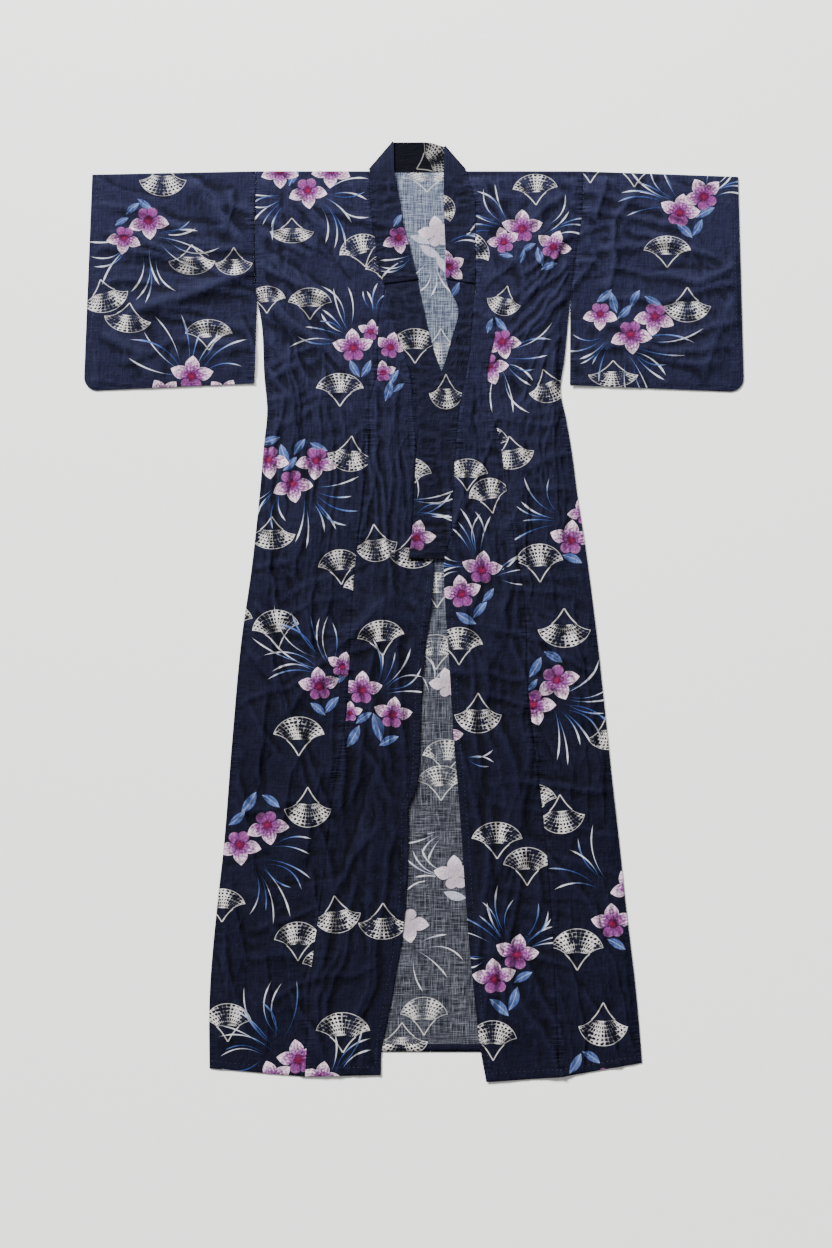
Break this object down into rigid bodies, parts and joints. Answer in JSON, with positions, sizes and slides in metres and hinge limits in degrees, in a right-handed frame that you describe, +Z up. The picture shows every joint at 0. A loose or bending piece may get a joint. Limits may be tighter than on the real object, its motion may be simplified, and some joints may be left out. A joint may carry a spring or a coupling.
{
  "type": "cotton yukata robe",
  "caption": "Ankle-length unlined cotton robe with wide short sleeves, overlap gores and a long band collar, laid flat and closed left over right.",
  "frame": {"origin": "middle of the robe's outline on the surface that it lies on", "axes": "+Y towards the collar, +X towards the wearer's left sleeve, +Z up off the surface"},
  "size_m": [1.2003, 1.7117, 0.0081],
  "materials": {
    "printed_cotton": "matt slub cotton, navy with a pale print of fans, flowers and grass",
    "collar_cotton": "the same matt slub cotton, doubled in the collar"
  },
  "bodies": {
    "root": {"body_right": "printed_cotton", "body_left": "printed_cotton", "okumi_right": "printed_cotton", "okumi_left": "printed_cotton", "sleeve_right": "printed_cotton", "sleeve_left": "printed_cotton", "collar": "collar_cotton", "collar_cover": "collar_cotton"}
  },
  "joints": []
}
